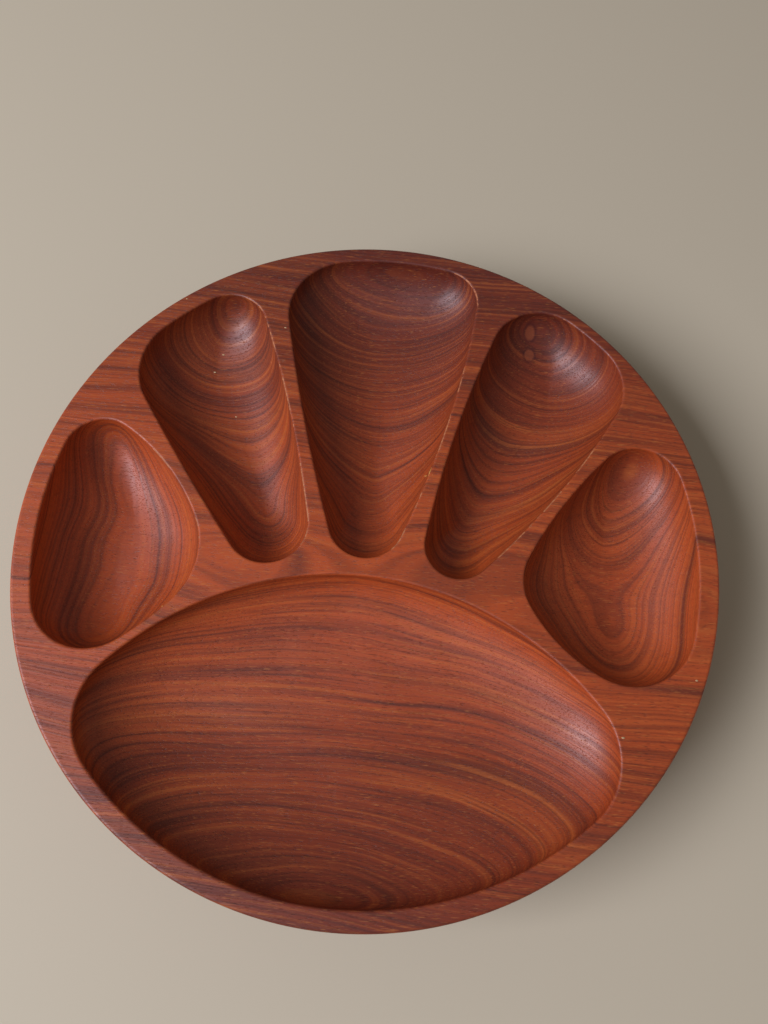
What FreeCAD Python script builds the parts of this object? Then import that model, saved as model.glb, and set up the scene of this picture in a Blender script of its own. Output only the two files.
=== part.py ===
import FreeCAD, Part

import math
import os

from FreeCAD import Vector

# Wooden lazy susan: a thick carved disc that turns by hand on a square ball-bearing swivel.
# Origin: on the table, under the turning axis.  +Z is up, +Y points at the middle-finger hollow.
# The tray shows five finger-shaped hollows in a fan around the back and one palm-shaped
# hollow along the front.  Lengths are in millimetres and angles in degrees, from +X towards +Y.

# ---------------------------------------------------------------- driving dimensions
tray_diameter = 360.0
tray_thickness = 37.0
tray_foot_diameter = 300.0       # flat underside, where the curved undercut of the side ends
tray_band_height = 9.0           # upright band below the top edge
tray_undercut_bulge = 5.0        # how far the undercut swells beyond a straight slope
tray_edge_round = 1.5

hollow_depth = 28.0
hollow_lip_round = 1.2           # soft edge where a hollow meets the top
hollow_fullness = 2.0            # exponent of the bowl section: 2 is an ellipse, more is boxier
layout_diameter = 360.0          # the disc that the hollows below are laid out on

base_diameter = 220.0
base_thickness = 12.0
base_edge_round = 3.0
access_hole_diameter = 16.0      # lets a screwdriver reach the tray screws from below

plate_side = 150.0
plate_thickness = 1.2
plate_corner_round = 10.0
plate_screw_inset = 15.0         # from the plate's edges to its corner holes
plate_screw_hole = 4.8

race_radius = 58.0               # from the turning axis to the middle of the ball race
race_clearance = 0.2             # between a ball and the pressed groove
race_step = 1.4                  # how far the pressed race stands above its plate
race_slope = 3.0                 # width of the pressed step at the foot of the race

ball_diameter = 5.0
ball_count = 16

cage_width = 8.0
cage_thickness = 1.5
cage_pocket_clearance = 0.15

rivet_radius = 15.0
rivet_wall = 1.5
rivet_flange_width = 3.0
rivet_flange_thickness = 0.9
rivet_running_clearance = 0.25

screw_shank_diameter = 4.0
screw_head_diameter = 8.0
screw_head_height = 2.5
screw_head_edge_share = 0.45     # upright edge of a head, as a share of its height
screw_tip_diameter = 1.6
screw_point_length = 3.0
cross_slot_length = 4.4
cross_slot_width = 1.1
cross_slot_share = 0.6           # depth of the cross slot, as a share of the head's height
screw_hole_clearance = 0.05      # round a shank in the wood, where its thread bites
base_screw_bite = 9.0            # length of a base screw in the wood
tray_screw_cover = 3.0           # wood left between a tray screw's tip and a hollow
foot_screw_bite = 7.0
foot_screw_head_height = 1.8

foot_top_diameter = 22.0
foot_bottom_diameter = 19.0
foot_height = 5.0
foot_circle_radius = 95.0
foot_recess_diameter = 9.0
foot_recess_depth = 3.6
foot_hole_clearance = 0.2
foot_edge_round = 0.8
foot_count = 4

washer_diameter = 8.6
washer_thickness = 0.8
washer_hole_clearance = 0.15

# Every hollow is a closed outline of small corner circles joined by long convex arcs.
# A corner is (angle, radius): its circle touches the outer arc, which is concentric with the
# tray and leaves "land" of rim outside it.  A tip is (distance, angle, radius) from the axis.
# The sides are the radii of the arcs from the tip to the first corner and from the last
# corner back to the tip.  Outlines run anticlockwise.  "lie" is the direction of the long axis.
finger_hollows = {
    "middle finger": dict(lie=92, land=9.0, tip=(10, 98.5, 19.5),
                          corners=((78, 22), (98, 35)), sides=(560, 1100)),
    "right index": dict(lie=60, land=6.5, tip=(47, 0, 17.5),
                        corners=((43.5, 33), (52, 27.5)), sides=(440, 620)),
    "left index": dict(lie=116, land=10.0, tip=(53, 174, 21),
                       corners=((126, 21.5), (136, 36)), sides=(750, 1400)),
    "right thumb": dict(lie=93, land=10.5, tip=(108.5, -8.5, 27),
                        corners=((-14, 32.5), (15, 23)), sides=(84, 240)),
    "left thumb": dict(lie=87, land=10.5, tip=(126.5, 185, 40),
                       corners=((165, 19.5), (194.5, 29)), sides=(120, 168)),
}
palm_hollow = dict(lie=-2, land=9.5, corners=((223.7, 34.5), (311.7, 36)), back=160)

# ---------------------------------------------------------------- heights, from the table up
base_bottom = foot_height
base_top = base_bottom + base_thickness

ball_radius = ball_diameter / 2
groove_radius = ball_radius + race_clearance
crest_height = plate_thickness + race_step             # top of the pressed race, over the base
groove_rise = groove_radius - race_step / 2            # from a crest up to the ball centres
half_swivel_height = crest_height + groove_rise
ball_level = base_top + half_swivel_height

tray_bottom = base_top + 2 * half_swivel_height
tray_top = tray_bottom + tray_thickness
tray_screw_bite = tray_thickness - hollow_depth - tray_screw_cover

# ---------------------------------------------------------------- places shared by several pieces
turning_axis = Vector(0, 0, 1)
screw_offset = plate_side / 2 - plate_screw_inset
screw_circle_radius = screw_offset * math.sqrt(2)
plate_screw_places = [(x, y) for x in (-screw_offset, screw_offset) for y in (-screw_offset, screw_offset)]
access_hole_place = (screw_circle_radius, 0)
foot_angles = [45 + 360 * i / foot_count for i in range(foot_count)]


def polar(distance, angle):
    """The point at this distance from the axis, as plain x and y."""
    return distance * math.cos(math.radians(angle)), distance * math.sin(math.radians(angle))


foot_places = [polar(foot_circle_radius, angle) for angle in foot_angles]


# ---------------------------------------------------------------- small helpers
def turned(points, arcs=()):
    """A solid of revolution from its (radius, height) half section; arcs maps a corner's
    index to a point that the edge from that corner to the next one passes through."""
    arcs = dict(arcs)
    corners = [Vector(r, 0, z) for r, z in points]
    edges = []
    for i, start in enumerate(corners):
        end = corners[(i + 1) % len(corners)]
        if i in arcs:
            r, z = arcs[i]
            edges.append(Part.Arc(start, Vector(r, 0, z), end).toShape())
        else:
            edges.append(Part.LineSegment(start, end).toShape())
    face = Part.Face(Part.Wire(edges))
    return face.revolve(Vector(0, 0, 0), turning_axis, 360)


def drilled(shape, places, diameter, bottom, top):
    """The shape with an upright round hole at every place."""
    for x, y in places:
        shape = shape.cut(Part.makeCylinder(diameter / 2, top - bottom, Vector(x, y, bottom)))
    return shape


def group(shapes):
    """Equal loose pieces that share one node."""
    return Part.makeCompound(shapes)


def flipped(shape, level):
    """The shape turned upside down about the X axis at this height."""
    return shape.rotated(Vector(0, 0, level), Vector(1, 0, 0), 180)


# ---------------------------------------------------------------- the hollows of the tray
def bridging_centre(first, second, radius):
    """Centre of the arc that touches two corner circles from outside, bulging to the right
    of the way from the first to the second."""
    (x1, y1, r1), (x2, y2, r2) = first, second
    gap = math.hypot(x2 - x1, y2 - y1)
    along = ((radius - r1) ** 2 - (radius - r2) ** 2 + gap ** 2) / (2 * gap)
    across = math.sqrt((radius - r1) ** 2 - along ** 2)
    ux, uy = (x2 - x1) / gap, (y2 - y1) / gap
    return x1 + ux * along - uy * across, y1 + uy * along + ux * across


def arc_edge(centre, radius, start, end, height):
    """The anticlockwise arc between two directions, in radians, at this height."""
    sweep = (end - start) % (2 * math.pi)
    points = []
    for direction in (start, start + sweep / 2, start + sweep):
        x = centre[0] + radius * math.cos(direction)
        y = centre[1] + radius * math.sin(direction)
        points.append(Vector(x, y, height))
    return Part.Arc(*points).toShape()


def outline(circles, bridges, offset, height):
    """Closed level wire round the corner circles, pushed outwards by an offset."""
    centres = []
    for i, radius in enumerate(bridges):
        centres.append(bridging_centre(circles[i], circles[(i + 1) % len(circles)], radius))
    edges = []
    for i, (x, y, radius) in enumerate(circles):
        before, after = centres[i - 1], centres[i]
        arriving = math.atan2(y - before[1], x - before[0])
        leaving = math.atan2(y - after[1], x - after[0])
        edges.append(arc_edge((x, y), radius + offset, arriving, leaving, height))
        next_x, next_y, _ = circles[(i + 1) % len(circles)]
        landing = math.atan2(next_y - after[1], next_x - after[0])
        edges.append(arc_edge(after, bridges[i] + offset, leaving, landing, height))
    return Part.Wire(edges)


def hollow_circles(hollow):
    """Corner circles and bridging radii of one hollow, at the tray's own size."""
    scale = tray_diameter / layout_diameter
    reach = layout_diameter / 2 - hollow["land"]
    circles = [(*polar(reach - radius, angle), radius) for angle, radius in hollow["corners"]]
    bridges = [reach]
    if "tip" in hollow:
        distance, angle, radius = hollow["tip"]
        circles.insert(0, (*polar(distance, angle), radius))
        bridges = [hollow["sides"][0], reach, hollow["sides"][1]]
    else:
        bridges.append(hollow["back"])
    circles = [tuple(scale * value for value in circle) for circle in circles]
    return circles, [scale * radius for radius in bridges]


def half_extent(points, angle):
    """Half of how far the points spread along a direction."""
    direction = Vector(*polar(1, angle), 0)
    along = [point.dot(direction) for point in points]
    return (max(along) - min(along)) / 2


def hollow_cutter(hollow, bowl_sections=13, lip_sections=4, last_turn=86):
    """What the carver takes out: a softened lip, then a trough whose wall comes in by the same
    amount all round, so its deepest line lies along the hollow's long axis."""
    circles, bridges = hollow_circles(hollow)
    edge = outline(circles, bridges, 0, 0)
    middle = Part.Face(edge).CenterOfMass
    points = edge.discretize(Number=120)
    half_length = half_extent(points, hollow["lie"])
    half_width = half_extent(points, hollow["lie"] + 90)
    bowl_top = tray_top - hollow_lip_round
    bowl_depth = hollow_depth - hollow_lip_round

    lip = []
    for i in range(lip_sections):
        turn = math.radians(90 * i / (lip_sections - 1))
        height = tray_top - hollow_lip_round * (1 - math.cos(turn))
        lip.append(outline(circles, bridges, hollow_lip_round * (1 - math.sin(turn)), height))

    bowl = []
    for i in range(bowl_sections):
        turn = math.radians(last_turn * i / (bowl_sections - 1))
        inset = half_width * (1 - math.cos(turn) ** (2 / hollow_fullness))
        depth = bowl_depth * math.sin(turn) ** (2 / hollow_fullness)
        squeeze = FreeCAD.Matrix()
        squeeze.move(-middle)
        squeeze.rotateZ(-math.radians(hollow["lie"]))
        squeeze.scale(1 - inset / half_length, 1 - inset / half_width, 1)
        squeeze.rotateZ(math.radians(hollow["lie"]))
        squeeze.move(middle + Vector(0, 0, bowl_top - depth))
        bowl.append(edge.transformGeometry(squeeze))

    return Part.makeLoft(lip, True, True), Part.makeLoft(bowl, True, True)


# ---------------------------------------------------------------- tray
def make_tray():
    """Turned disc with a curved undercut, six carved hollows and pilot holes underneath."""
    rim = tray_diameter / 2
    foot = tray_foot_diameter / 2
    band_bottom = tray_top - tray_band_height
    soft = tray_edge_round * (1 - math.sqrt(0.5))
    overhang, undercut_height = rim - foot, band_bottom - tray_bottom
    swell = tray_undercut_bulge / math.hypot(overhang, undercut_height)
    bulge = (
        foot + overhang / 2 + swell * undercut_height,
        tray_bottom + undercut_height / 2 - swell * overhang,
    )
    section = [
        (0, tray_bottom),
        (foot, tray_bottom),
        (rim, band_bottom),
        (rim, tray_top - tray_edge_round),
        (rim - tray_edge_round, tray_top),
        (0, tray_top),
    ]
    tray = turned(section, {1: bulge, 3: (rim - soft, tray_top - soft)})
    for hollow in [*finger_hollows.values(), palm_hollow]:
        for cutter in hollow_cutter(hollow):
            tray = tray.cut(cutter)
    pilot = screw_shank_diameter + 2 * screw_hole_clearance
    pilot_top = tray_bottom + tray_screw_bite + screw_hole_clearance
    return drilled(tray, plate_screw_places, pilot, tray_bottom, pilot_top)


# ---------------------------------------------------------------- swivel
def race_section(bottom):
    """Half section of the pressed middle of a lower plate: from the step round the ball race
    inwards to the rivet hole, one plate thickness deep all along."""
    crest = bottom + crest_height
    half_mouth = math.sqrt(groove_radius ** 2 - groove_rise ** 2)
    outside = race_radius + half_mouth
    step_foot = outside + race_slope + plate_thickness
    deep_radius = groove_radius + plate_thickness
    under = crest - plate_thickness
    half_under = math.sqrt(deep_radius ** 2 - (groove_rise + plate_thickness) ** 2)
    hub = rivet_radius
    points = [
        (step_foot, bottom),
        (step_foot, bottom + plate_thickness),
        (outside + plate_thickness, crest),
        (outside, crest),
        (race_radius - half_mouth, crest),
        (hub, crest),
        (hub, under),
        (race_radius - half_under, under),
        (race_radius + half_under, under),
        (outside + plate_thickness, under),
    ]
    centre = bottom + half_swivel_height
    arcs = {3: (race_radius, centre - groove_radius), 7: (race_radius, centre - deep_radius)}
    return points, arcs


def make_plate(hub_clearance):
    """Lower plate of the swivel, lying on the base: a square sheet with rounded corners,
    a screw hole in each corner and the pressed ball race."""
    half = plate_side / 2
    sheet = Part.makeBox(plate_side, plate_side, plate_thickness, Vector(-half, -half, base_top))
    upright = [e for e in sheet.Edges if abs(e.tangentAt(e.FirstParameter).z) > 0.99]
    sheet = sheet.makeFillet(plate_corner_round, upright)
    points, arcs = race_section(base_top)
    step_foot = points[0][0]
    sheet = sheet.cut(Part.makeCylinder(step_foot, plate_thickness, Vector(0, 0, base_top)))
    plate = sheet.fuse(turned(points, arcs)).removeSplitter()
    plate = drilled(plate, plate_screw_places, plate_screw_hole, base_top, base_top + plate_thickness)
    if hub_clearance:
        plate = drilled(plate, [(0, 0)], 2 * (rivet_radius + hub_clearance), base_top, tray_bottom)
    return plate


def make_rivet():
    """Hollow centre rivet: clenched tight under the lower plate, a running fit over the upper one."""
    bore = rivet_radius - rivet_wall
    rim = rivet_radius + rivet_flange_width
    low_seat = base_top + race_step
    high_seat = tray_bottom - race_step + rivet_running_clearance
    low_face = low_seat - rivet_flange_thickness
    high_face = high_seat + rivet_flange_thickness
    soft = rivet_flange_thickness / 2
    section = [
        (bore, low_face),
        (rim - soft, low_face),
        (rim - soft, low_seat),
        (rivet_radius, low_seat),
        (rivet_radius, high_seat),
        (rim - soft, high_seat),
        (rim - soft, high_face),
        (bore, high_face),
    ]
    arcs = {1: (rim, low_seat - soft), 5: (rim, high_seat + soft)}
    return turned(section, arcs)


def ball_places():
    """Angle and centre of every ball."""
    for i in range(ball_count):
        angle = 360 * i / ball_count
        yield angle, Vector(*polar(race_radius, angle), ball_level)


def make_cage():
    """Flat plastic ring that keeps the balls evenly spread."""
    inner = race_radius - cage_width / 2
    bottom = ball_level - cage_thickness / 2
    ring = Part.makeCylinder(inner + cage_width, cage_thickness, Vector(0, 0, bottom))
    ring = ring.cut(Part.makeCylinder(inner, cage_thickness, Vector(0, 0, bottom)))
    pocket = ball_diameter + 2 * cage_pocket_clearance
    return drilled(ring, [(c.x, c.y) for _, c in ball_places()], pocket, bottom, bottom + cage_thickness)


# ---------------------------------------------------------------- screws
def make_screw(bite, seat_thickness, head_height=screw_head_height):
    """Pan-head screw, point down, with the underside of its head at height 0."""
    shank = screw_shank_diameter / 2
    head = screw_head_diameter / 2
    length = bite + seat_thickness
    edge = head_height * screw_head_edge_share
    dome = head_height - edge
    dome_radius = (head ** 2 + dome ** 2) / (2 * dome)
    dome_point = (head / 2, head_height - dome_radius + math.sqrt(dome_radius ** 2 - (head / 2) ** 2))
    section = [
        (0, -length),
        (screw_tip_diameter / 2, -length),
        (shank, -length + screw_point_length),
        (shank, 0),
        (head, 0),
        (head, edge),
        (0, head_height),
    ]
    screw = turned(section, {5: dome_point})
    slot_depth = head_height * cross_slot_share
    for length_x, length_y in ((cross_slot_length, cross_slot_width), (cross_slot_width, cross_slot_length)):
        corner = Vector(-length_x / 2, -length_y / 2, head_height - slot_depth)
        screw = screw.cut(Part.makeBox(length_x, length_y, slot_depth, corner))
    return screw


def screws_at(screw, places, seat, upwards=False):
    """Copies of a screw with their heads seated at one height, driven down or up."""
    if upwards:
        screw = flipped(screw, 0)
    return group([screw.translated(Vector(x, y, seat)) for x, y in places])


def make_tray_screws():
    return screws_at(make_screw(tray_screw_bite, plate_thickness), plate_screw_places,
                     tray_bottom - plate_thickness, upwards=True)


def make_base_screws():
    return screws_at(make_screw(base_screw_bite, plate_thickness), plate_screw_places,
                     base_top + plate_thickness)


# ---------------------------------------------------------------- base and feet
def make_base():
    """Round wooden base with softened edges, drilled for its screws and the screwdriver."""
    base = Part.makeCylinder(base_diameter / 2, base_thickness, Vector(0, 0, base_bottom))
    rims = [e for e in base.Edges if abs(e.Length - math.pi * base_diameter) < 1]
    base = base.makeFillet(base_edge_round, rims)
    pilot = screw_shank_diameter + 2 * screw_hole_clearance
    depth = base_screw_bite + screw_hole_clearance
    base = drilled(base, plate_screw_places, pilot, base_top - depth, base_top)
    foot_depth = foot_screw_bite + screw_hole_clearance
    base = drilled(base, foot_places, pilot, base_bottom, base_bottom + foot_depth)
    return drilled(base, [access_hole_place], access_hole_diameter, base_bottom, base_top)


def make_foot():
    """Rubber bumper: a short cone with a soft lower edge, counterbored from below."""
    top = foot_top_diameter / 2
    bottom = foot_bottom_diameter / 2
    recess = foot_recess_diameter / 2
    bore = screw_shank_diameter / 2 + foot_hole_clearance
    soft = foot_edge_round * (1 - math.sqrt(0.5))
    section = [
        (recess, 0),
        (bottom - foot_edge_round, 0),
        (bottom, foot_edge_round),
        (top, foot_height),
        (bore, foot_height),
        (bore, foot_recess_depth),
        (recess, foot_recess_depth),
    ]
    return turned(section, {1: (bottom - soft, soft)})


def make_foot_washers():
    bore = screw_shank_diameter / 2 + washer_hole_clearance
    bottom = foot_recess_depth - washer_thickness
    washer = Part.makeCylinder(washer_diameter / 2, washer_thickness, Vector(0, 0, bottom))
    washer = washer.cut(Part.makeCylinder(bore, washer_thickness, Vector(0, 0, bottom)))
    return group([washer.translated(Vector(x, y, 0)) for x, y in foot_places])


def make_foot_screws():
    grip = foot_height - foot_recess_depth + washer_thickness
    screw = make_screw(foot_screw_bite, grip, foot_screw_head_height)
    return screws_at(screw, foot_places, foot_recess_depth - washer_thickness, upwards=True)


# ---------------------------------------------------------------- the whole turntable
def build():
    parts = {
        "tray": make_tray(),
        "swivel_upper_plate": flipped(make_plate(rivet_running_clearance), ball_level),
        "swivel_lower_plate": make_plate(0),
        "swivel_rivet": make_rivet(),
        "ball_cage": make_cage(),
        "tray_screws": make_tray_screws(),
        "base": make_base(),
        "base_screws": make_base_screws(),
        "foot_washers": make_foot_washers(),
        "foot_screws": make_foot_screws(),
    }
    for i, (_, centre) in enumerate(ball_places(), start=1):
        parts[f"ball_{i:02d}"] = Part.makeSphere(ball_radius, centre)
    foot = make_foot()
    for i, (x, y) in enumerate(foot_places, start=1):
        parts[f"foot_{i}"] = foot.translated(Vector(x, y, 0))
    return parts


os.makedirs("parts", exist_ok=True)
for name, shape in build().items():
    if not shape.isValid():
        raise ValueError(f"{name} is not a valid shape")
    shape.exportStep(f"parts/{name}.step")
    box = shape.BoundBox
    heights = f"z {box.ZMin:.2f} to {box.ZMax:.2f}"
    print(f"{name}: {len(shape.Solids)} solid(s), {shape.Volume / 1000:.2f} cm3, {heights}")
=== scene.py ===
# %% [markdown]
# # A carved lazy susan, modelled and finished in Blender
# The object is a thick disc of red-brown hardwood with six carved hollows, which turns on a
# ball-bearing swivel over a round wooden base.  The construction is loaded first as a fixed
# frame: it says where every piece is.  The lesson then sets up the studio, models the two
# wooden pieces, and gives every piece the finish that it really has.

# %% Load the construction
import math
import random

import bmesh
import bpy
from mathutils import Euler, Matrix, Quaternion, Vector, noise


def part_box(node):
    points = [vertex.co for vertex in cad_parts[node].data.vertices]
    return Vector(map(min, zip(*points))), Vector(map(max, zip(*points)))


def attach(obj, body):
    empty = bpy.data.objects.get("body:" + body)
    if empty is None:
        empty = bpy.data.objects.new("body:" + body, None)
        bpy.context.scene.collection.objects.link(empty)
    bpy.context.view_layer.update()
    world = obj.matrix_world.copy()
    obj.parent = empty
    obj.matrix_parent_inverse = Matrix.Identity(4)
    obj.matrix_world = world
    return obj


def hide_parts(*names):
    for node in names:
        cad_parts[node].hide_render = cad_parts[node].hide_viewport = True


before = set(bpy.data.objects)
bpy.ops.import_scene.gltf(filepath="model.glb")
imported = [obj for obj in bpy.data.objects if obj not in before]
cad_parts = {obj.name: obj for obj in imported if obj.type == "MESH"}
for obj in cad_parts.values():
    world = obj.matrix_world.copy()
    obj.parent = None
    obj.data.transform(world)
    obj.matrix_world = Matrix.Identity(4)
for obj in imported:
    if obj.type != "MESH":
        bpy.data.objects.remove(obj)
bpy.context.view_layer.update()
MM = 0.001
bpy.ops.object.select_all(action="DESELECT")

# %% [markdown]
# ## Studio
# The view looks down on the tray from the side of the palm-shaped hollow, about twenty degrees
# off the vertical, as somebody standing at the table sees it.  A camera is placed by a position,
# a point to look at and a small roll, because those three can be read and changed by hand.

# %% Camera
tray_low, tray_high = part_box("tray")
tray_top = tray_high.z
camera_place = Vector((8.4 * MM, -118.2 * MM, tray_top + 376.5 * MM))
camera_target = Vector((7.3 * MM, 15.4 * MM, tray_top))
camera_roll = math.radians(3.2)
camera_lens = 27.07

camera_data = bpy.data.cameras.new("camera")
camera_data.lens = camera_lens
camera_data.sensor_width = 36
camera_data.clip_start = 0.01
camera = bpy.data.objects.new("camera", camera_data)
bpy.context.scene.collection.objects.link(camera)
camera.location = camera_place
camera.rotation_mode = "QUATERNION"
aim = (camera_target - camera_place).to_track_quat("-Z", "Y")
camera.rotation_quaternion = aim @ Quaternion((0, 0, 1), camera_roll)
bpy.context.scene.camera = camera
print("camera is", round(camera_place.length, 3), "m from the origin")

# %% [markdown]
# ## Colours and nodes
# A colour is written as people pick it, as an sRGB hex value, and one function turns it to the
# linear values that a shader needs.  One other function adds a node to a material: it sets the
# node's own settings, its unlinked sockets and its links, so a material reads as a short list.

# %% Helpers for materials
def colour(code):
    """Linear RGBA of an sRGB hex value."""
    channels = [int(code[i:i + 2], 16) / 255 for i in (1, 3, 5)]
    linear = [c / 12.92 if c <= 0.04045 else ((c + 0.055) / 1.055) ** 2.4 for c in channels]
    return (*linear, 1.0)


def add_node(tree, kind, links=(), values=(), stops=None, **settings):
    """A new node: links maps its inputs to other nodes' outputs, values sets inputs, and
    stops are the positions and colours of a colour ramp."""
    made = tree.nodes.new(kind)
    for name, value in settings.items():
        setattr(made, name, value)
    for name, value in dict(values).items():
        made.inputs[name].default_value = value
    for name, output in dict(links).items():
        tree.links.new(output, made.inputs[name])
    if stops:
        ramp = made.color_ramp.elements
        while len(ramp) < len(stops):
            ramp.new(0.5)
        for element, (position, code) in zip(ramp, stops):
            element.position = position
            element.color = colour(code)
    return made


def new_material(name):
    """An empty material with a principled shader; returns the material, its tree and the shader."""
    material = bpy.data.materials.new(name)
    material.use_nodes = True
    tree = material.node_tree
    tree.nodes.clear()
    shader = tree.nodes.new("ShaderNodeBsdfPrincipled")
    output = tree.nodes.new("ShaderNodeOutputMaterial")
    tree.links.new(shader.outputs["BSDF"], output.inputs["Surface"])
    return material, tree, shader


def millimetres(tree):
    """Object coordinates in millimetres, so that a pattern's scale is one over its real size."""
    place = add_node(tree, "ShaderNodeTexCoord")
    links = {"Vector": place.outputs["Object"]}
    return add_node(tree, "ShaderNodeMapping", links, {"Scale": (1000, 1000, 1000)}).outputs["Vector"]


def paint(piece, material):
    """Gives a piece one material all over."""
    if not piece.material_slots:
        piece.data.materials.append(material)
    for slot in piece.material_slots:
        slot.material = material


print("helpers are ready")

# %% [markdown]
# ## Light and floor
# A soft window light stands on the left of the viewer, about forty degrees up, and leaves a wide
# shadow to the right.  The world fills in weakly from all round.  The floor is plain and pale.

# %% Lights
def area_light(name, place, target, size, power, tint):
    """A soft rectangular light that points at a target."""
    lamp = bpy.data.lights.new(name, "AREA")
    lamp.shape = "RECTANGLE"
    lamp.size, lamp.size_y = size
    lamp.energy = power
    lamp.color = colour(tint)[:3]
    holder = bpy.data.objects.new(name, lamp)
    bpy.context.scene.collection.objects.link(holder)
    holder.location = place
    holder.rotation_mode = "QUATERNION"
    holder.rotation_quaternion = (Vector(target) - Vector(place)).to_track_quat("-Z", "Y")
    return holder


world = bpy.data.worlds.new("room")
bpy.context.scene.world = world
world.use_nodes = True
world.node_tree.nodes["Background"].inputs["Color"].default_value = colour("#F6F4F2")
world.node_tree.nodes["Background"].inputs["Strength"].default_value = 0.20
window = area_light("window", (-1.75, -0.75, 1.75), (0, 0, 0.05), (1.5, 1.2), 74.0, "#E6EEFF")
bpy.context.scene.view_settings.view_transform = "Standard"
print("window light:", window.data.energy, "W")

# %% Floor
floor_material, floor_tree, floor_shader = new_material("pale matt table top")
floor_shader.inputs["Base Color"].default_value = colour("#CDBCA2")
floor_shader.inputs["Roughness"].default_value = 0.75
bpy.ops.mesh.primitive_plane_add(size=6.0, location=(0, 0, 0))
floor = bpy.context.object
floor.name = "floor"
paint(floor, floor_material)
bpy.ops.object.select_all(action="DESELECT")
print("floor is", floor.dimensions.x, "m wide")

# %% [markdown]
# ## Hollow outlines
# Each hollow is drawn as a maker draws it: small corner circles joined by long arcs that touch
# them.  The outer arc runs along the rim.  The same few numbers made the construction, so the
# surface modelled here lies where the construction says.

# %% Sizes of the tray
rim_radius = tray_high.x
layout_radius = 180 * MM
hollow_depth = 28.0 * MM
lip_round = 1.2 * MM
hollows = {
    "middle_finger": dict(lie=92, land=9.0, tip=(10, 98.5, 19.5),
                          corners=((78, 22), (98, 35)), sides=(560, 1100)),
    "right_index": dict(lie=60, land=6.5, tip=(47, 0, 17.5),
                        corners=((43.5, 33), (52, 27.5)), sides=(440, 620)),
    "left_index": dict(lie=116, land=10.0, tip=(53, 174, 21),
                       corners=((126, 21.5), (136, 36)), sides=(750, 1400)),
    "right_thumb": dict(lie=93, land=10.5, tip=(108.5, -8.5, 27),
                        corners=((-14, 32.5), (15, 23)), sides=(84, 240)),
    "left_thumb": dict(lie=87, land=10.5, tip=(126.5, 185, 40),
                       corners=((165, 19.5), (194.5, 29)), sides=(120, 168)),
    "palm": dict(lie=-2, land=9.5, corners=((223.7, 34.5), (311.7, 36)), back=160),
}


def polar(distance, angle):
    """The point at this distance from the axis, in this direction in degrees."""
    turn = math.radians(angle)
    return Vector((distance * math.cos(turn), distance * math.sin(turn)))


def corner_circles(hollow):
    """Centres and radii of a hollow's corner circles, and the radii of the arcs that join them."""
    reach = layout_radius - hollow["land"] * MM
    circles = [(polar(reach - r * MM, angle), r * MM) for angle, r in hollow["corners"]]
    if "tip" not in hollow:
        return circles, [reach, hollow["back"] * MM]
    distance, angle, r = hollow["tip"]
    circles.insert(0, (polar(distance * MM, angle), r * MM))
    return circles, [hollow["sides"][0] * MM, reach, hollow["sides"][1] * MM]


def bridging_centre(first, second, radius):
    """Centre of the arc that touches two circles and bulges to the right of the way between them."""
    (a, ra), (b, rb) = first, second
    way = b - a
    along = ((radius - ra) ** 2 - (radius - rb) ** 2 + way.length_squared) / (2 * way.length)
    across = math.sqrt((radius - ra) ** 2 - along ** 2)
    forward = way.normalized()
    return a + forward * along + Vector((-forward.y, forward.x)) * across


def outline_arcs(hollow):
    """The outline as arcs: centre, radius, first direction and sweep, anticlockwise."""
    circles, bridges = corner_circles(hollow)
    following = circles[1:] + circles[:1]
    centres = [bridging_centre(*pair) for pair in zip(circles, following, bridges)]
    arcs = []
    for i, (corner, radius) in enumerate(circles):
        next_corner = following[i][0]
        arriving, leaving, landing = (
            math.atan2(spot.y, spot.x)
            for spot in (corner - centres[i - 1], corner - centres[i], next_corner - centres[i])
        )
        arcs.append((corner, radius, arriving, (leaving - arriving) % math.tau))
        arcs.append((centres[i], bridges[i], leaving, (landing - leaving) % math.tau))
    return arcs


def outline_points(hollow, count, offset=0.0):
    """Evenly spread points along the outline, pushed outwards by an offset."""
    arcs = outline_arcs(hollow)
    lengths = [radius * sweep for _, radius, _, sweep in arcs]
    points = []
    for i in range(count):
        travel = sum(lengths) * i / count
        for (centre, radius, first, sweep), length in zip(arcs, lengths):
            if travel <= length:
                break
            travel -= length
        direction = first + travel / radius
        points.append(centre + (radius + offset) * Vector((math.cos(direction), math.sin(direction))))
    return points


for title, hollow in hollows.items():
    around = sum(radius * sweep for _, radius, _, sweep in outline_arcs(hollow))
    print(title, "outline is", round(around / MM), "mm round")

# %% [markdown]
# ## Tray body
# The real tray is turned from one thick board: a flat underside, a curved undercut, an upright
# band and a softened top edge.  A circle is filled for the underside, and its edge is extruded
# and widened ring by ring, as a turner works up the side.  The top is left open for the hollows.

# %% Edit-mode helpers
def enter_edit(piece):
    """Opens a piece for editing with nothing selected, in vertex mode."""
    bpy.context.view_layer.objects.active = piece
    piece.select_set(True)
    bpy.ops.object.mode_set(mode="EDIT")
    bpy.ops.mesh.select_mode(type="VERT")
    bpy.ops.mesh.select_all(action="DESELECT")


def leave_edit():
    """Back to object mode with nothing selected."""
    bpy.ops.object.mode_set(mode="OBJECT")
    bpy.ops.object.select_all(action="DESELECT")


def select_vertices(piece, wanted):
    """Selects the vertices whose place passes a test, and the edges between them."""
    mesh = bmesh.from_edit_mesh(piece.data)
    for vertex in mesh.verts:
        vertex.select_set(wanted(vertex.co))
    mesh.select_flush_mode()
    bmesh.update_edit_mesh(piece.data)


def select_edges(piece, wanted):
    """Selects only the edges that pass a test."""
    bpy.ops.mesh.select_mode(type="EDGE")
    bpy.ops.mesh.select_all(action="DESELECT")
    mesh = bmesh.from_edit_mesh(piece.data)
    for edge in mesh.edges:
        edge.select_set(wanted(edge))
    bmesh.update_edit_mesh(piece.data)


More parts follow.
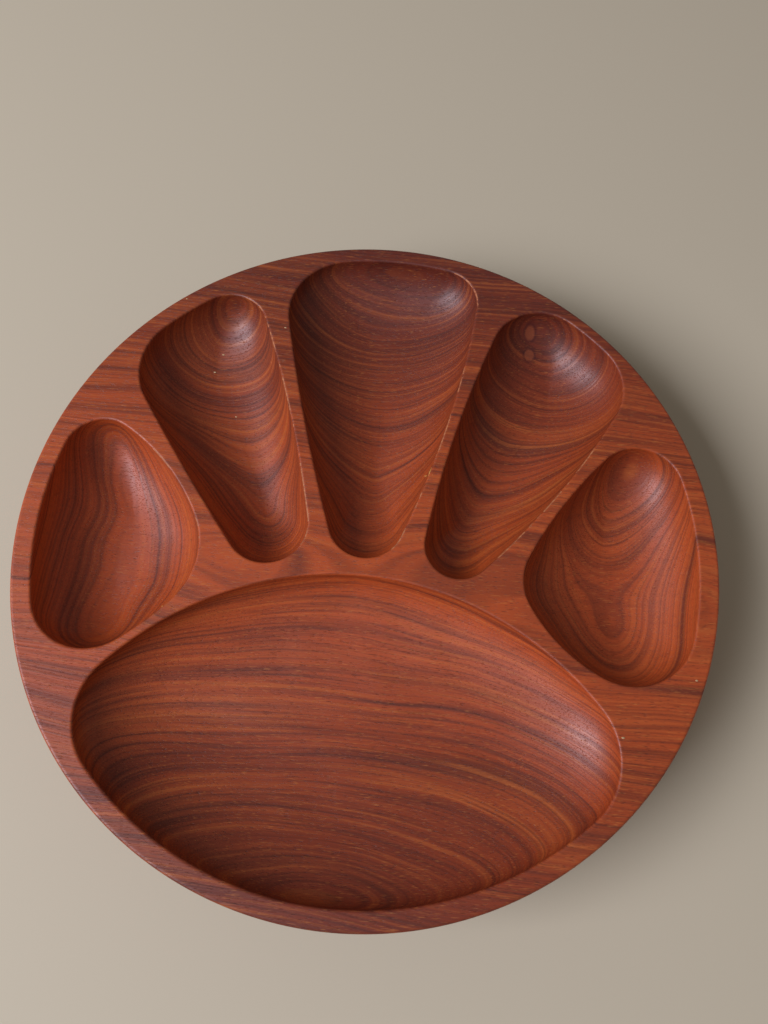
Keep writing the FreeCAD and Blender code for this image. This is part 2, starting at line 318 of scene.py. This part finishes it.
def extrude_ring(scale, rise, centre, lie=0):
    """Extrudes the selected ring up or down, then scales it about a centre, along an axis that
    lies at this angle and across it."""
    bpy.ops.mesh.extrude_edges_move(TRANSFORM_OT_translate={"value": (0, 0, rise)})
    bpy.ops.transform.resize(
        value=scale, center_override=centre, orient_type="GLOBAL", orient_matrix_type="GLOBAL",
        orient_matrix=Matrix.Rotation(math.radians(lie), 3, "Z"),
    )


def finish_surface(piece, angle=35):
    """Outward normals, and smooth shading everywhere but at real edges."""
    enter_edit(piece)
    bpy.ops.mesh.select_all(action="SELECT")
    bpy.ops.mesh.normals_make_consistent(inside=False)
    leave_edit()
    piece.select_set(True)
    bpy.context.view_layer.objects.active = piece
    bpy.ops.object.shade_smooth_by_angle(angle=math.radians(angle))
    flat = piece.modifiers.new("flat faces stay flat", "WEIGHTED_NORMAL")
    flat.keep_sharp = True
    flat.weight = 80
    bpy.ops.object.modifier_apply(modifier=flat.name)
    piece.select_set(False)


print("edit helpers are ready")

# %% Underside, undercut and band
foot_radius = 150 * MM
band_height = 9.0 * MM
undercut_bulge = 5.0 * MM
edge_round = 1.5 * MM
tray_bottom = tray_low.z
body_points = 288
undercut_steps = 12
round_steps = 4
strip = 0.5 * MM


def arc_between(start, end, bulge, steps):
    """Points on the arc from start to end, in radius and height, that swells outwards by bulge."""
    start, end = Vector(start), Vector(end)
    chord = end - start
    arc_radius = (chord.length_squared / 4 + bulge ** 2) / (2 * bulge)
    outwards = Vector((chord.y, -chord.x)).normalized()
    centre = (start + end) / 2 - outwards * (arc_radius - bulge)
    half_sweep = math.asin(chord.length / 2 / arc_radius)
    middle = math.atan2(outwards.y, outwards.x)
    turns = [middle - half_sweep + 2 * half_sweep * i / steps for i in range(1, steps + 1)]
    return [centre + arc_radius * Vector((math.cos(turn), math.sin(turn))) for turn in turns]


band_bottom = tray_top - band_height
round_bulge = edge_round * (1 - math.sqrt(0.5))
side = arc_between((foot_radius, tray_bottom), (rim_radius, band_bottom), undercut_bulge, undercut_steps)
side.append(Vector((rim_radius, tray_top - edge_round)))
side += arc_between(side[-1], (rim_radius - edge_round, tray_top), round_bulge, round_steps)
side.append(Vector((rim_radius - edge_round - strip, tray_top)))

bpy.ops.mesh.primitive_circle_add(
    vertices=body_points, radius=foot_radius, fill_type="NGON", location=(0, 0, tray_bottom)
)
tray = bpy.context.object
tray.name = "carved_tray"
bpy.ops.object.transform_apply(location=True, rotation=True, scale=True)
enter_edit(tray)
bpy.ops.mesh.select_all(action="SELECT")
bpy.ops.mesh.select_mode(type="EDGE")
radius, height = foot_radius, tray_bottom
for next_radius, next_height in side:
    wider = next_radius / radius
    extrude_ring((wider, wider, 1), next_height - height, (0, 0, height))
    radius, height = next_radius, next_height
leave_edit()
print("body has", len(side), "rings")

# %% [markdown]
# ## Six carved hollows
# A carver keeps a hollow's wall equally wide all round, so its deepest line lies along its long
# axis.  Here a circle is added for each hollow and laid on its outline, extruded once for the
# flat top beside it, and then taken down and inwards ring by ring on a quarter ellipse.

# %% Carve the hollows
outline_count = 240
wall_rings = 24
last_turn = math.radians(88)


def lay_on_outline(piece, points, height):
    """Puts the selected ring's vertices on these points."""
    mesh = bmesh.from_edit_mesh(piece.data)
    ring = sorted((v for v in mesh.verts if v.select), key=lambda v: v.index)
    for vertex, point in zip(ring, points):
        vertex.co = (point.x, point.y, height)
    bmesh.update_edit_mesh(piece.data)


def half_extent(points, angle):
    """Half of how far the points spread along a direction."""
    along = [point.dot(polar(1, angle)) for point in points]
    return (max(along) - min(along)) / 2


def area_centre(points):
    """Centre of area of a closed outline."""
    doubled_area = 0.0
    total = Vector((0, 0))
    for here, after in zip(points, points[1:] + points[:1]):
        slice_area = here.x * after.y - after.x * here.y
        doubled_area += slice_area
        total += (here + after) * slice_area
    return total / (3 * doubled_area)


def carve(piece, hollow):
    """Adds one hollow to the open piece, from the flat top beside it down to its bottom."""
    edge = outline_points(hollow, outline_count)
    middle = area_centre(edge)
    half_length = half_extent(edge, hollow["lie"])
    half_width = half_extent(edge, hollow["lie"] + 90)
    bpy.ops.mesh.select_all(action="DESELECT")
    bpy.ops.mesh.primitive_circle_add(vertices=outline_count, radius=20 * MM)
    lay_on_outline(piece, outline_points(hollow, outline_count, lip_round + strip), tray_top)
    bpy.ops.mesh.extrude_edges_move(TRANSFORM_OT_translate={"value": (0, 0, 0)})
    lay_on_outline(piece, edge, tray_top)
    length, width, height = half_length, half_width, tray_top
    for i in range(1, wall_rings + 1):
        turn = last_turn * i / wall_rings
        inset = half_width * (1 - math.cos(turn))
        lower = tray_top - lip_round - (hollow_depth - lip_round) * math.sin(turn)
        narrower = ((half_length - inset) / length, (half_width - inset) / width, 1)
        extrude_ring(narrower, lower - height, (middle.x, middle.y, height), hollow["lie"])
        length, width, height = half_length - inset, half_width - inset, lower
    bpy.ops.mesh.edge_face_add()


enter_edit(tray)
bpy.ops.mesh.select_mode(type="EDGE")
for hollow in hollows.values():
    carve(tray, hollow)
select_edges(tray, lambda edge: edge.is_boundary)
bpy.ops.mesh.fill(use_beauty=True)
leave_edit()
print("tray has", len(tray.data.polygons), "faces before its lips are rounded")

# %% [markdown]
# ## Soft lips and hand-worked surfaces
# Sandpaper takes the sharp corner off every lip, which is what catches the light there.  A bevel
# on those edges does it.  A carver's gouge and sanding also leave the walls slightly wavy, so a
# weak displacement moves only the carved vertices, by a few tenths of a millimetre.

# %% Round the lips
lip_places = set()
for hollow in hollows.values():
    for point in outline_points(hollow, outline_count):
        lip_places.add((round(point.x, 6), round(point.y, 6)))


def on_lip(edge):
    """True for an edge that runs along the top of a hollow's wall."""
    return all(
        abs(v.co.z - tray_top) < 1e-6 and (round(v.co.x, 6), round(v.co.y, 6)) in lip_places
        for v in edge.verts
    )


enter_edit(tray)
select_edges(tray, on_lip)
bpy.ops.mesh.bevel(offset=lip_round, segments=4, profile=0.5, affect="EDGES", clamp_overlap=False)
leave_edit()
print("tray has", len(tray.data.polygons), "faces")

# %% Hand-worked waviness
wave_size = 26 * MM
wave_height = 0.6 * MM
carved_top = tray_top - 2.5 * MM
carved_radius = rim_radius - 6 * MM

enter_edit(tray)
select_vertices(tray, lambda p: tray_bottom + 8 * MM < p.z < carved_top and p.xy.length < carved_radius)
tray.vertex_groups.new(name="carved")
bpy.ops.object.vertex_group_assign()
leave_edit()
wave = bpy.data.textures.new("gouge and sanding waves", "CLOUDS")
wave.noise_scale = wave_size
wave.noise_depth = 1
worked = tray.modifiers.new("hand-worked surface", "DISPLACE")
worked.texture = wave
worked.texture_coords = "LOCAL"
worked.strength = wave_height
worked.mid_level = 0.5
worked.vertex_group = "carved"
bpy.context.view_layer.objects.active = tray
bpy.ops.object.modifier_apply(modifier=worked.name)
finish_surface(tray)
print("tray is", [round(size / MM, 1) for size in tray.dimensions], "mm")

# %% [markdown]
# ## Oiled red hardwood
# The board was cut near the heart of the tree and lies heart side up, so the growth rings are
# cylinders about an axis that runs along the grain, a little above the tray.  A solid pattern,
# worked out from the distance to that axis, is cut by every surface as real wood is: straight
# lines on the flat top, hanging curves in the finger hollows, arches in the palm hollow, and
# ovals or long waves in the thumb hollows.  Nothing is wrapped round the shape.
#
# The colour is built in layers, as the eye sees them: a red-orange heart that darkens outwards,
# broad rings, fine growth lines, a few purple-brown bands, and last the short pale flecks and
# dark pores that an oiled surface shows.

# %% Wood
def scaled(tree, vector, x, y, z):
    """A vector with each of its components multiplied."""
    return add_node(
        tree, "ShaderNodeVectorMath", {0: vector}, {1: (x, y, z)}, operation="MULTIPLY"
    ).outputs[0]


def noise_of(tree, vector, detail=2.0):
    """Noise with cells one unit wide."""
    values = {"Scale": 1.0, "Detail": detail, "Roughness": 0.55}
    return add_node(tree, "ShaderNodeTexNoise", {"Vector": vector}, values)


def between(tree, value, low, high, out_low=0.0, out_high=1.0):
    """The value where it lies between two limits, as a share or on a new scale."""
    limits = {"From Min": low, "From Max": high, "To Min": out_low, "To Max": out_high}
    return add_node(tree, "ShaderNodeMapRange", {"Value": value}, limits).outputs["Result"]


def times(tree, value, number):
    """A value multiplied by a number."""
    return add_node(
        tree, "ShaderNodeMath", {0: value}, {1: number}, operation="MULTIPLY"
    ).outputs[0]


def tint(tree, base, mask, code, amount):
    """Blends a colour over the base where the mask is set, by at most this amount."""
    return add_node(
        tree, "ShaderNodeMix", {0: times(tree, mask, amount), 6: base}, {7: colour(code)},
        data_type="RGBA",
    ).outputs[2]


def hardwood(name, pith, turn, heart, roughness, knots=()):
    """Oiled hardwood whose growth rings run about an axis through pith, a (y, z) in mm, turned
    by some degrees from the X axis.  heart is the ramp of colours outwards from that axis, and
    knots are the (x, y) in mm of small pin knots that run up through the board."""
    material, tree, shader = new_material(name)
    place = millimetres(tree)
    trunk = add_node(
        tree, "ShaderNodeMapping", {"Vector": place},
        {"Location": (0, -pith[0], -pith[1]), "Rotation": (0, 0, math.radians(turn))},
    ).outputs["Vector"]

    # the trunk is never a true cylinder: its rings wander a few millimetres over a hand's width
    wander = noise_of(tree, scaled(tree, place, 1 / 150, 1 / 70, 1 / 70), 1).outputs["Color"]
    wander = add_node(
        tree, "ShaderNodeVectorMath", {0: wander}, {1: (0.5, 0.5, 0.5)}, operation="SUBTRACT"
    ).outputs[0]
    swayed = add_node(
        tree, "ShaderNodeVectorMath", {0: trunk, 1: scaled(tree, wander, 0, 18, 18)}, operation="ADD"
    ).outputs[0]
    radius = add_node(
        tree, "ShaderNodeVectorMath", {0: scaled(tree, swayed, 0, 1, 1)}, operation="LENGTH"
    ).outputs["Value"]
    along = add_node(tree, "ShaderNodeSeparateXYZ", {"Vector": trunk}).outputs["X"]

    def rings(pitch, length, seed, detail=2.0):
        """Noise over the ring radius, nearly constant along the grain."""
        vector = add_node(
            tree, "ShaderNodeCombineXYZ",
            {"X": times(tree, radius, 1 / pitch), "Y": times(tree, along, 1 / length)}, {"Z": seed},
        ).outputs[0]
        return noise_of(tree, vector, detail).outputs["Fac"]

    base = add_node(
        tree, "ShaderNodeValToRGB", {"Fac": between(tree, radius, 70, 230)}, stops=heart
    ).outputs["Color"]
    lines = rings(1.7, 140, 11.0)
    hairlines = rings(0.7, 60, 23.0, 1.0)
    base = tint(tree, base, between(tree, rings(14, 260, 3.0), 0.50, 0.72), "#BA5828", 0.40)
    base = tint(tree, base, between(tree, rings(6, 180, 7.0), 0.50, 0.70), "#481A15", 0.42)
    base = tint(tree, base, between(tree, rings(16, 300, 0.0), 0.59, 0.69), "#3A1B1C", 0.55)
    base = tint(tree, base, between(tree, lines, 0.50, 0.70), "#3B1510", 0.52)
    base = tint(tree, base, between(tree, lines, 0.46, 0.28), "#CE6E34", 0.40)
    base = tint(tree, base, between(tree, hairlines, 0.52, 0.75), "#421811", 0.45)

    streaks = noise_of(tree, scaled(tree, place, 1 / 90, 1 / 3.2, 1 / 3.2), 3).outputs["Fac"]
    base = tint(tree, base, between(tree, streaks, 0.50, 0.75), "#5C2118", 0.25)
    flecks = noise_of(tree, scaled(tree, place, 1 / 5, 1 / 0.5, 1 / 0.5), 1).outputs["Fac"]
    base = tint(tree, base, between(tree, flecks, 0.60, 0.80), "#D88440", 0.36)
    pores = noise_of(tree, scaled(tree, place, 1 / 4, 1 / 0.4, 1 / 0.4), 1).outputs["Fac"]
    pore_depth = between(tree, pores, 0.60, 0.74)
    base = tint(tree, base, pore_depth, "#34160F", 0.45)

    for x, y in knots:
        off_knot = add_node(
            tree, "ShaderNodeVectorMath", {0: scaled(tree, place, 1, 1, 0)}, {1: (x, y, 0)},
            operation="DISTANCE",
        ).outputs["Value"]
        base = tint(tree, base, between(tree, off_knot, 4.8, 3.6), "#42171A", 0.45)
        base = tint(tree, base, between(tree, off_knot, 3.3, 2.4), "#A3522F", 0.50)
    tree.links.new(base, shader.inputs["Base Color"])

    # late wood is denser and takes a better polish than early wood
    polish = between(tree, lines, 0.3, 0.7, roughness - 0.05, roughness + 0.06)
    tree.links.new(polish, shader.inputs["Roughness"])
    raised = add_node(
        tree, "ShaderNodeMath", {0: hairlines, 1: pore_depth}, operation="SUBTRACT"
    ).outputs[0]
    bump = add_node(
        tree, "ShaderNodeBump", {"Height": raised}, {"Strength": 0.7, "Distance": 0.14 * MM}
    )
    tree.links.new(bump.outputs["Normal"], shader.inputs["Normal"])
    return material


tray_heart = (
    (0.00, "#BC4F22"), (0.20, "#B0481D"), (0.42, "#9B3E1B"), (0.62, "#82331B"), (1.0, "#5C241C")
)
pin_knots = ((87, 127), (86, 137))
tray_wood = hardwood(
    "oiled red hardwood, carved and hand sanded", (-16, 138), 4, tray_heart, 0.44, pin_knots
)
paint(tray, tray_wood)
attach(tray, "tray_unit")
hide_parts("tray")
print("tray is finished")

# %% [markdown]
# ## Wear and painted highlight on the tray
# Years of scraping and washing have rubbed the oil off the thin lips beside the finger hollows,
# so pale bare wood shows there in a broken line.  The same pale colour is also a painted highlight
# where those lips catch the window light: it goes only on lip faces that look towards the lamp on
# the left.  So it is partly wear and partly painted highlight.  Those are real faces of the rounded
# lip, chosen by height and by which way they face, and they take a second material.

# %% Bare wood and painted highlight along the lips
def pale_wood(name, code, dark_code):
    """Dry bare wood, unevenly pale along the grain."""
    material, tree, shader = new_material(name)
    patches = noise_of(tree, scaled(tree, millimetres(tree), 1 / 6, 1 / 1.5, 1 / 1.5)).outputs["Fac"]
    shade = add_node(tree, "ShaderNodeValToRGB", {"Fac": patches}, stops=((0.35, dark_code), (0.65, code)))
    tree.links.new(shade.outputs["Color"], shader.inputs["Base Color"])
    shader.inputs["Roughness"].default_value = 0.65
    return material


# where the lips are pale: partly rubbed-off oil, partly a painted highlight on lips that face the window
# light
worn_and_lit_band = (0.1 * MM, 0.8 * MM)      # below the top, where the middle of a lip's rounding is
worn_and_lit_patch = 22 * MM
worn_and_lit_reach = (-5 * MM, 118 * MM)      # lowest y and highest x where the lips are worn


def is_worn_or_painted_lit(face):
    """True for a lip face that looks towards the left, where the window light falls, in the patches where
    the oil is gone; its pale colour is partly wear and partly painted highlight.
    """
    below = tray_top - face.center.z
    on_lip = worn_and_lit_band[0] < below < worn_and_lit_band[1] and face.center.xy.length < rim_radius - 4 * MM
    in_reach = face.center.y > worn_and_lit_reach[0] and face.center.x < worn_and_lit_reach[1]
    patchy = noise.noise(face.center / worn_and_lit_patch) + 0.5 * noise.noise(face.center / (worn_and_lit_patch / 8))
    return on_lip and in_reach and face.normal.x < -0.3 and patchy > -0.02


# the pale lip colour is partly bare wood and partly a painted highlight where the lips face the window
# light
tray.data.materials.append(pale_wood("bare wood where the oil is rubbed off", "#C0764A", "#9A4E2C"))
worn_and_lit_faces = [face for face in tray.data.polygons if is_worn_or_painted_lit(face)]
for face in worn_and_lit_faces:
    face.material_index = 1
print(len(worn_and_lit_faces), "faces of the lips are bare")

# %% [markdown]
# Where the left thumb hollow runs out against the grain, the gouge tore the wood, and short pale
# fibres stand over its lip.  A few more stand in a small star beside the middle finger, and dry
# crumbs sit here and there.  Each fibre is a thin tapering cone, laid on the surface.

# %% Torn fibres and crumbs
chance = random.Random(11)
fibre_root = 0.28 * MM
fibre_tip = 0.05 * MM


def height_at(x, y):
    """Height of the tray's surface at a place."""
    found, spot, _, _ = tray.ray_cast(Vector((x, y, tray_top + 20 * MM)), Vector((0, 0, -1)))
    return spot.z if found else tray_top


def add_fibre(x, y, angle, length):
    """One tapering fibre that starts at a place and lies outwards at an angle, in degrees."""
    middle = Vector((x, y)) + polar(length / 2, angle)
    low, high = height_at(x, y), height_at(*(Vector((x, y)) + polar(length, angle)))
    slope = math.atan2(high - low, length)
    lying = Euler((0, math.pi / 2 - slope, math.radians(angle)))
    bpy.ops.mesh.primitive_cone_add(
        vertices=5, radius1=fibre_root, radius2=fibre_tip, depth=length,
        location=(middle.x, middle.y, (low + high) / 2 + fibre_root / 2), rotation=lying,
    )
    return bpy.context.object


def join(parts, name):
    """Makes one piece of several and puts its origin at the frame's."""
    bpy.ops.object.select_all(action="DESELECT")
    for part in parts:
        part.select_set(True)
    bpy.context.view_layer.objects.active = parts[0]
    bpy.ops.object.join()
    joined = bpy.context.object
    joined.name = name
    bpy.ops.object.transform_apply(location=True, rotation=True, scale=True)
    joined.select_set(False)
    return joined


def torn_share(point):
    """How much of the lip is torn: most of its upper end, and one tuft at its lower end."""
    if point.x > -107 * MM:
        return 0.85
    return 0.6 if point.x < -114 * MM else 0.12


torn_lip = [
    point for point in outline_points(hollows["left_thumb"], outline_count)
    if point.x > -119 * MM and -58 * MM < point.y < -32 * MM
]
fibres = []
for point in torn_lip:
    for _ in range(2):
        if chance.random() < torn_share(point):
            shift = Vector((chance.uniform(-1.0, 1.0), chance.uniform(0.8, 3.2))) * MM
            length = chance.uniform(2.5, 5.5) * MM
            fibres.append(add_fibre(*(point + shift), chance.gauss(258, 9), length))
for i in range(9):
    start = Vector((30 * MM, 40 * MM)) + polar(chance.uniform(0, 1.5) * MM, chance.uniform(0, 360))
    fibres.append(add_fibre(*start, chance.choice((70, 160, 235, 320)) + chance.gauss(0, 18), 2.4 * MM))
torn_fibres = join(fibres, "torn_fibres")
paint(torn_fibres, pale_wood("dry torn wood fibres", "#E0A254", "#C9823C"))

crumb_places = ((-94, 117), (-55, 122), (-98, 106), (-82, 78), (-113, 137), (164, -61), (127, -90))
crumbs = []
for x, y in crumb_places:
    x, y = x * MM, y * MM
    size = chance.uniform(0.35, 0.6) * MM
    bpy.ops.mesh.primitive_ico_sphere_add(subdivisions=2, radius=size, location=(x, y, height_at(x, y)))
    bpy.context.object.scale = (1.5, 0.9, 0.5)
    crumbs.append(bpy.context.object)
dry_crumbs = join(crumbs, "dry_crumbs")
paint(dry_crumbs, pale_wood("dry crumbs", "#D8B98E", "#B88A5E"))

for piece in (torn_fibres, dry_crumbs):
    finish_surface(piece)
    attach(piece, "tray_unit")
print(len(fibres), "fibres and", len(crumbs), "crumbs")

# %% [markdown]
# ## Wooden base
# The base is a plain turned disc of a darker board of the same wood, with both edges well
# rounded.  One hole goes right through it, for the screwdriver that reaches the tray's screws.

# %% Base
base_low, base_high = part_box("base")
base_round = 3.0 * MM
access_hole_radius = 8.0 * MM
access_hole_distance = 60 * math.sqrt(2) * MM

bpy.ops.mesh.primitive_cylinder_add(
    vertices=192, radius=base_high.x, depth=base_high.z - base_low.z,
    location=(0, 0, (base_low.z + base_high.z) / 2),
)
base = bpy.context.object
base.name = "wooden_base"
bpy.ops.object.transform_apply(location=True, rotation=True, scale=True)
bpy.ops.mesh.primitive_cylinder_add(
    vertices=48, radius=access_hole_radius, depth=3 * (base_high.z - base_low.z),
    location=(access_hole_distance, 0, base_low.z),
)
drill = bpy.context.object
enter_edit(base)
select_edges(base, lambda edge: abs(edge.verts[0].co.z - edge.verts[1].co.z) < 1e-6)
bpy.ops.mesh.bevel(offset=base_round, segments=6, profile=0.5, affect="EDGES")
leave_edit()
drilled = base.modifiers.new("screwdriver hole", "BOOLEAN")
drilled.operation = "DIFFERENCE"
drilled.object = drill
bpy.context.view_layer.objects.active = base
bpy.ops.object.modifier_apply(modifier=drilled.name)
bpy.data.objects.remove(drill)
finish_surface(base)

base_heart = (
    (0.00, "#8E3F20"), (0.20, "#82391F"), (0.42, "#74321E"), (0.62, "#66291B"), (1.0, "#4E201B")
)
paint(base, hardwood("oiled red hardwood, turned", (30, -95), -3, base_heart, 0.48))
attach(base, "base_unit")
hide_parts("base")
print("base is", [round(size / MM, 1) for size in base.dimensions], "mm")

# %% [markdown]
# ## Metal, nylon and rubber
# The hidden pieces keep the shapes of the construction and get their real finishes.  Zinc plating
# is a soft grey metal with a faint cloudy, slightly bluish and yellowish tone.  Bearing balls are
# close to mirrors, moulded nylon is a milky off-white, and the rubber feet are black and matt.

# %% Finishes of the swivel, screws and feet
def plated(name, light, dark, roughness, cell):
    """Plated or polished steel: a clouded tone and an uneven polish, with cells in mm."""
    material, tree, shader = new_material(name)
    place = millimetres(tree)
    clouds = noise_of(tree, scaled(tree, place, 1 / cell, 1 / cell, 1 / cell), 3).outputs["Fac"]
    tone = add_node(tree, "ShaderNodeValToRGB", {"Fac": clouds}, stops=((0.35, dark), (0.65, light)))
    tree.links.new(tone.outputs["Color"], shader.inputs["Base Color"])
    polish = between(tree, clouds, 0.3, 0.7, roughness - 0.04, roughness + 0.08)
    tree.links.new(polish, shader.inputs["Roughness"])
    shader.inputs["Metallic"].default_value = 1.0
    return material


def moulded(name, light, dark, roughness, grain, relief):
    """Moulded plastic or rubber: an almost even colour with a fine grain, both in mm."""
    material, tree, shader = new_material(name)
    place = millimetres(tree)
    clouds = noise_of(tree, scaled(tree, place, 1 / 9, 1 / 9, 1 / 9)).outputs["Fac"]
    tone = add_node(tree, "ShaderNodeValToRGB", {"Fac": clouds}, stops=((0.35, dark), (0.65, light)))
    tree.links.new(tone.outputs["Color"], shader.inputs["Base Color"])
    skin = noise_of(tree, scaled(tree, place, 1 / grain, 1 / grain, 1 / grain), 1).outputs["Fac"]
    bump = add_node(
        tree, "ShaderNodeBump", {"Height": skin}, {"Strength": 0.6, "Distance": relief * MM}
    )
    tree.links.new(bump.outputs["Normal"], shader.inputs["Normal"])
    shader.inputs["Roughness"].default_value = roughness
    return material


zinc = plated("zinc-plated pressed steel", "#B9BDC2", "#9C9F9E", 0.34, 9)
screw_zinc = plated("zinc-plated screws", "#C2C0B6", "#A4A29A", 0.28, 2)
ball_steel = plated("polished bearing steel", "#CDCED2", "#BFC1C6", 0.10, 1.5)
nylon = moulded("natural moulded nylon", "#DEDACF", "#D2CDC0", 0.46, 0.5, 0.02)
rubber = moulded("black moulded rubber", "#1C1C1E", "#131314", 0.72, 0.35, 0.05)
finishes = {
    "swivel_upper_plate": zinc,
    "swivel_lower_plate": zinc,
    "swivel_rivet": zinc,
    "ball_cage": nylon,
    "tray_screws": screw_zinc,
    "base_screws": screw_zinc,
    "foot_screws": screw_zinc,
    "foot_washers": screw_zinc,
}
for name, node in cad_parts.items():
    if name.startswith("ball_") and name != "ball_cage":
        paint(node, ball_steel)
    elif name.startswith("foot_") and name[-1].isdigit():
        paint(node, rubber)
    elif name in finishes:
        paint(node, finishes[name])
print("finished", len(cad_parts), "nodes")
